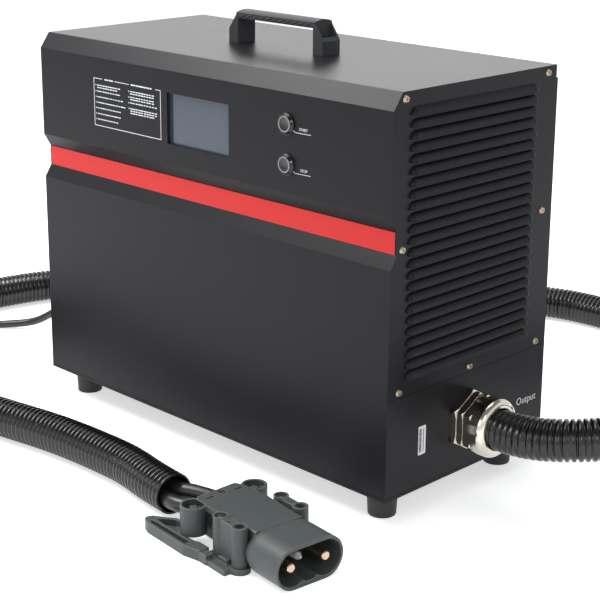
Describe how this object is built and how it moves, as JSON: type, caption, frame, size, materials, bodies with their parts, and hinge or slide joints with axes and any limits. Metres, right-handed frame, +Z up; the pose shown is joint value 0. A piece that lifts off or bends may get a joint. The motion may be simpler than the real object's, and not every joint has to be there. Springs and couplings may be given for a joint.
{
  "type": "lithium battery charger",
  "caption": "Free-standing battery charger cabinet with louvred sides, display, START and STOP buttons, carrying handle, corrugated output cable with battery plug, and mains lead.",
  "frame": {"origin": "on the floor, under the middle of the cabinet", "axes": "+X to the right along the front, +Y from the front to the back, +Z up"},
  "size_m": [1.0466, 0.8628, 0.466],
  "materials": {
    "powder_coat": "fine matte powder coat",
    "red_paint": "satin red paint",
    "screen_glass": "unlit grey-blue display",
    "black_plastic": "textured black plastic",
    "gloss_black": "glossy black",
    "light_ring": "frosted light ring, unlit",
    "nickel": "nickel plated, warm tint",
    "steel": "zinc plated screws",
    "rubber": "black rubber",
    "cord": "black corrugated conduit and cable jackets",
    "plug_plastic": "moulded grey-green plastic",
    "contact": "copper alloy",
    "coding": "white plastic",
    "board": "green circuit board",
    "aluminium": "extruded",
    "winding": "varnished core and windings"
  },
  "bodies": {
    "cabinet": {"base_tray": "powder_coat", "skirt_left": "powder_coat", "skirt_right": "powder_coat", "front_panel": "powder_coat", "red_band": "red_paint", "top_cover": "powder_coat", "rear_panel": "powder_coat", "side_cover_left": "powder_coat", "side_cover_right": "powder_coat", "cover_screws": "steel", "lcd_frame": "black_plastic", "lcd_glass": "screen_glass", "lcd_board": "board", "start_body": "gloss_black", "stop_body": "gloss_black", "button_nuts": "steel", "handle": "black_plastic", "handle_screws": "steel", "foot_front_left": "rubber", "foot_front_right": "rubber", "foot_rear_left": "rubber", "foot_rear_right": "rubber", "foot_screws": "steel", "output_locknut": "nickel", "output_gland": "nickel", "output_dome_nut": "nickel", "output_seal": "rubber", "output_inner_nut": "nickel", "output_conduit": "cord", "output_cable_far": "cord", "output_cable_near": "cord", "plug_housing": "plug_plastic", "plug_handle": "plug_plastic", "plug_pin_far": "contact", "plug_pin_near": "contact", "plug_coding_pin": "coding", "plug_screws": "steel", "mains_gland": "black_plastic", "mains_dome_nut": "black_plastic", "mains_inner_nut": "black_plastic", "mains_boot": "rubber", "mains_lead": "cord", "mains_coil": "cord", "mains_plug": "black_plastic", "mains_plug_pins": "nickel", "fan_frames": "black_plastic", "fan_screws": "steel", "power_board": "board", "heatsink": "aluminium", "transformer": "winding", "capacitors": "black_plastic", "contactor": "black_plastic"},
    "start_button": {"start_cap": "gloss_black", "start_ring": "light_ring"},
    "stop_button": {"stop_cap": "gloss_black", "stop_ring": "light_ring"},
    "fan_left": {"fan_rotor_left": "black_plastic"},
    "fan_right": {"fan_rotor_right": "black_plastic"}
  },
  "joints": [
    {"name": "start_press", "type": "slide", "parent": "cabinet", "child": "start_button", "axis": [0, 1, 0], "range_m": [0, 0.0025], "stiffness_N_per_m": 800, "springref_m": -0.003},
    {"name": "stop_press", "type": "slide", "parent": "cabinet", "child": "stop_button", "axis": [0, 1, 0], "range_m": [0, 0.0025], "stiffness_N_per_m": 800, "springref_m": -0.003},
    {"name": "fan_left_spin", "type": "hinge", "parent": "cabinet", "child": "fan_left", "pos_m": [-0.092, 0.10595, 0.265], "axis": [0, 1, 0], "continuous": true},
    {"name": "fan_right_spin", "type": "hinge", "parent": "cabinet", "child": "fan_right", "pos_m": [0.092, 0.10595, 0.265], "axis": [0, 1, 0], "continuous": true}
  ]
}
